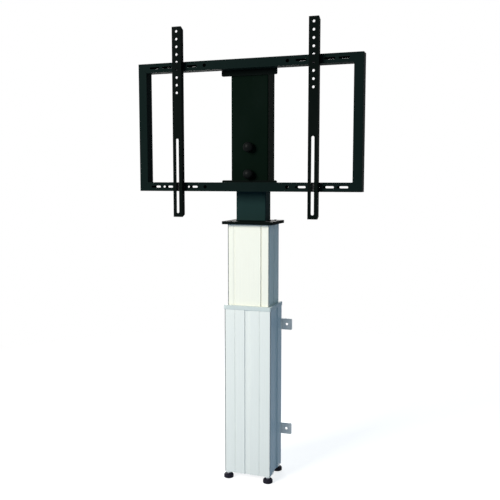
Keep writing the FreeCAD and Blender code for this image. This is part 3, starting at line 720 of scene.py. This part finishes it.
def hexagon_bolt(build, seat, direction, flats, height, shank, length, washer=None):
    """A hexagon head on its seat with its shank behind it; a washer under the head is (radius, thickness)."""
    rise, chamfer = 0.0, 0.0006
    rings = [(0, -length), (shank - chamfer, -length), (shank, chamfer - length), (shank, 0)]
    if washer:
        radius, rise = washer
        rings += [(radius, 0), (radius, 0.8 * rise), (radius - 0.0003, rise)]
    rings += [(0.97 * flats, rise), (flats, rise + 0.0004, "hex"), (flats, rise + 0.82 * height, "hex"),
              (0.94 * flats, rise + height), (0, rise + height)]
    turned_form(build, facing(seat, direction), rings, steps=48)


plate_bolt_flats = 0.0065
bolt_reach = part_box("cross_plate_bolts")[1].x - plate_bolt_flats / cos(pi / 6)
plate_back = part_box("upper_cross_plate")[1].y
rail_levels = [sum(corner.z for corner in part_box(name)) / 2 for name in ("frame_bottom_rail", "frame_top_rail")]
build = bmesh.new()
for x in (-bolt_reach, bolt_reach):
    for z in rail_levels:
        hexagon_bolt(build, Vector((x, plate_back, z)), (0, 1, 0), plate_bolt_flats, height=0.0052, shank=0.004,
                     length=0.011)
new_piece("cross_plate_hexagon_bolts", build, black_screw_finish, "carriage", "zinc_steel", "cross_plate_bolts")


# Screen frame: four lengths of rectangular steel tube, mitred and welded at the corners, with rows of slots
# punched through both rails. Powder coated black as one piece.
frame_black = powder_finish("frame_powder_coat", colour=(0.0048, 0.0102, 0.0090, 1),
                            mark_colour=(0.0072, 0.0128, 0.0115, 1), worn_colour=(0.024, 0.032, 0.032, 1))
for name in ("frame_bottom_rail", "frame_top_rail", "frame_left_upright", "frame_right_upright"):
    dress(name, frame_black, rounding=0.0010)
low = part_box("frame_bottom_rail")[0]
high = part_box("frame_top_rail")[1]
tube_face, inside_bead, back_bead, inside_short, back_short = 0.030, 0.0022, 0.0016, 0.001, 0.002
build = bmesh.new()
for x, inward in ((low.x, 1), (high.x, -1)):
    for z, upward in ((low.z, 1), (high.z, -1)):
        inner_x, inner_z = x + inward * tube_face, z + upward * tube_face
        weld_run(build, Vector((inner_x, low.y + inside_short, inner_z)),
                 Vector((inner_x, high.y - inside_short, inner_z)), inside_bead)
        weld_run(build, Vector((x + inward * back_short, high.y, z + upward * back_short)),
                 Vector((inner_x, high.y, inner_z)), back_bead)
new_piece("frame_mitre_welds", build, frame_black, "carriage", "black_powder_coat")


# Screen arms: two folded steel channels that hang on the rails and carry the screen by their holes and long slots.
# Coated black; blackened nut blocks inside each channel take bolts and washers from behind the rails.
arm_bolt_flats, arm_bolt_head, washer_radius, washer_thick = 0.005, 0.0042, 0.008, 0.0016
for side in ("left", "right"):
    dress(side + "_arm", powder_black, rounding=0.0007)
    dress(side + "_arm_nut_blocks", black_screw_finish)
    low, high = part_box(side + "_arm")
    arm_x = (low.x + high.x) / 2
    bolt_low, bolt_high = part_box(side + "_arm_bolts")
    seat_y = bolt_high.y - arm_bolt_head - washer_thick
    build = bmesh.new()
    for z in rail_levels:
        hexagon_bolt(build, Vector((arm_x, seat_y, z)), (0, 1, 0), arm_bolt_flats, arm_bolt_head, shank=0.003,
                     length=seat_y - bolt_low.y, washer=(washer_radius, washer_thick))
    new_piece(side + "_arm_hexagon_bolts", build, black_screw_finish, side + "_arm_set", "zinc_steel",
              side + "_arm_bolts")


# Studio: a plain pale floor that runs out to white, one broad soft light at the front left, a weaker one behind
# for the back, and a weak cool fill all round. The camera stands at the front right, a metre above the floor.

def in_the_picture(tree):
    """One where the camera, a reflection or glass sees the surface; nought where it only lights the stand."""
    path = tree.nodes.new("ShaderNodeLightPath")
    total = path.outputs["Is Camera Ray"]
    for ray in ("Is Glossy Ray", "Is Transmission Ray"):
        either = tree.nodes.new("ShaderNodeMath")
        either.operation = "MAXIMUM"
        tree.links.new(total, either.inputs[0])
        tree.links.new(path.outputs[ray], either.inputs[1])
        total = either.outputs[0]
    return total


floor_finish = bpy.data.materials.new("pale_floor")
floor_finish.use_nodes = True
tree = floor_finish.node_tree
tree.nodes.clear()
surface = tree.nodes.new("ShaderNodeOutputMaterial")
matt = tree.nodes.new("ShaderNodeBsdfDiffuse")
matt.inputs["Color"].default_value = (0.26, 0.35, 0.5, 1)
pale = tree.nodes.new("ShaderNodeBsdfDiffuse")
pale.inputs["Color"].default_value = (0.45, 0.45, 0.45, 1)
glow = tree.nodes.new("ShaderNodeEmission")
glow.inputs["Strength"].default_value = 0.79
white = tree.nodes.new("ShaderNodeEmission")
lit = tree.nodes.new("ShaderNodeAddShader")
tree.links.new(pale.outputs[0], lit.inputs[0])
tree.links.new(glow.outputs[0], lit.inputs[1])
spot = tree.nodes.new("ShaderNodeTexCoord")
distance = tree.nodes.new("ShaderNodeVectorMath")
distance.operation = "LENGTH"
tree.links.new(spot.outputs["Object"], distance.inputs[0])
pale_to, white_from = 0.6, 2.4
fade = tree.nodes.new("ShaderNodeMixShader")
tree.links.new(spread(tree, distance.outputs["Value"], pale_to, white_from), fade.inputs[0])
tree.links.new(lit.outputs[0], fade.inputs[1])
tree.links.new(white.outputs[0], fade.inputs[2])
choose = tree.nodes.new("ShaderNodeMixShader")
tree.links.new(in_the_picture(tree), choose.inputs[0])
tree.links.new(matt.outputs[0], choose.inputs[1])
tree.links.new(fade.outputs[0], choose.inputs[2])
tree.links.new(choose.outputs[0], surface.inputs["Surface"])
floor_radius, floor_drop = 6.0, 0.0005
build = bmesh.new()
bmesh.ops.create_circle(build, cap_ends=True, segments=96, radius=floor_radius)
mesh = bpy.data.meshes.new("studio_floor")
build.to_mesh(mesh)
build.free()
mesh.materials.append(floor_finish)
floor = bpy.data.objects.new("studio_floor", mesh)
bpy.context.scene.collection.objects.link(floor)
floor.location.z = -floor_drop

world = bpy.data.worlds.new("studio")
bpy.context.scene.world = world
world.use_nodes = True
tree = world.node_tree
tree.nodes.clear()
surround = tree.nodes.new("ShaderNodeOutputWorld")
fill = tree.nodes.new("ShaderNodeBackground")
fill.inputs["Color"].default_value = (0.47, 0.85, 1.2, 1)
fill.inputs["Strength"].default_value = 0.22
white = tree.nodes.new("ShaderNodeBackground")
white.inputs["Color"].default_value = (1, 1, 1, 1)
white.inputs["Strength"].default_value = 1.0
choose = tree.nodes.new("ShaderNodeMixShader")
tree.links.new(in_the_picture(tree), choose.inputs[0])
tree.links.new(fill.outputs[0], choose.inputs[1])
tree.links.new(white.outputs[0], choose.inputs[2])
tree.links.new(choose.outputs[0], surround.inputs["Surface"])


def soft_light(name, place, target, width, height, power, colour):
    lamp = bpy.data.lights.new(name, "AREA")
    lamp.shape = "RECTANGLE"
    lamp.size, lamp.size_y = width, height
    lamp.energy = power
    lamp.color = colour
    holder = bpy.data.objects.new(name, lamp)
    holder.matrix_world = facing(place, place - target)
    bpy.context.scene.collection.objects.link(holder)


soft_light("front_left_softbox", Vector((-1.9, -3.4, 2.4)), Vector((0, 0, 0.9)), width=1.6, height=2.0,
           power=200.0, colour=(1.0, 0.975, 0.92))
soft_light("back_left_softbox", Vector((-1.6, 3.2, 1.7)), Vector((0, 0, 0.8)), width=1.8, height=1.8,
           power=70.0, colour=(1.0, 0.98, 0.95))

view = bpy.data.cameras.new("front_right_view")
view.sensor_width = 36.0
view.lens = 50.1
camera = bpy.data.objects.new("front_right_view", view)
camera.location = (0.7702, -2.2463, 1.0448)
camera.rotation_euler = (radians(84.16), 0, radians(19.08))
bpy.context.scene.collection.objects.link(camera)
bpy.context.scene.camera = camera
bpy.context.scene.view_settings.view_transform = "Standard"
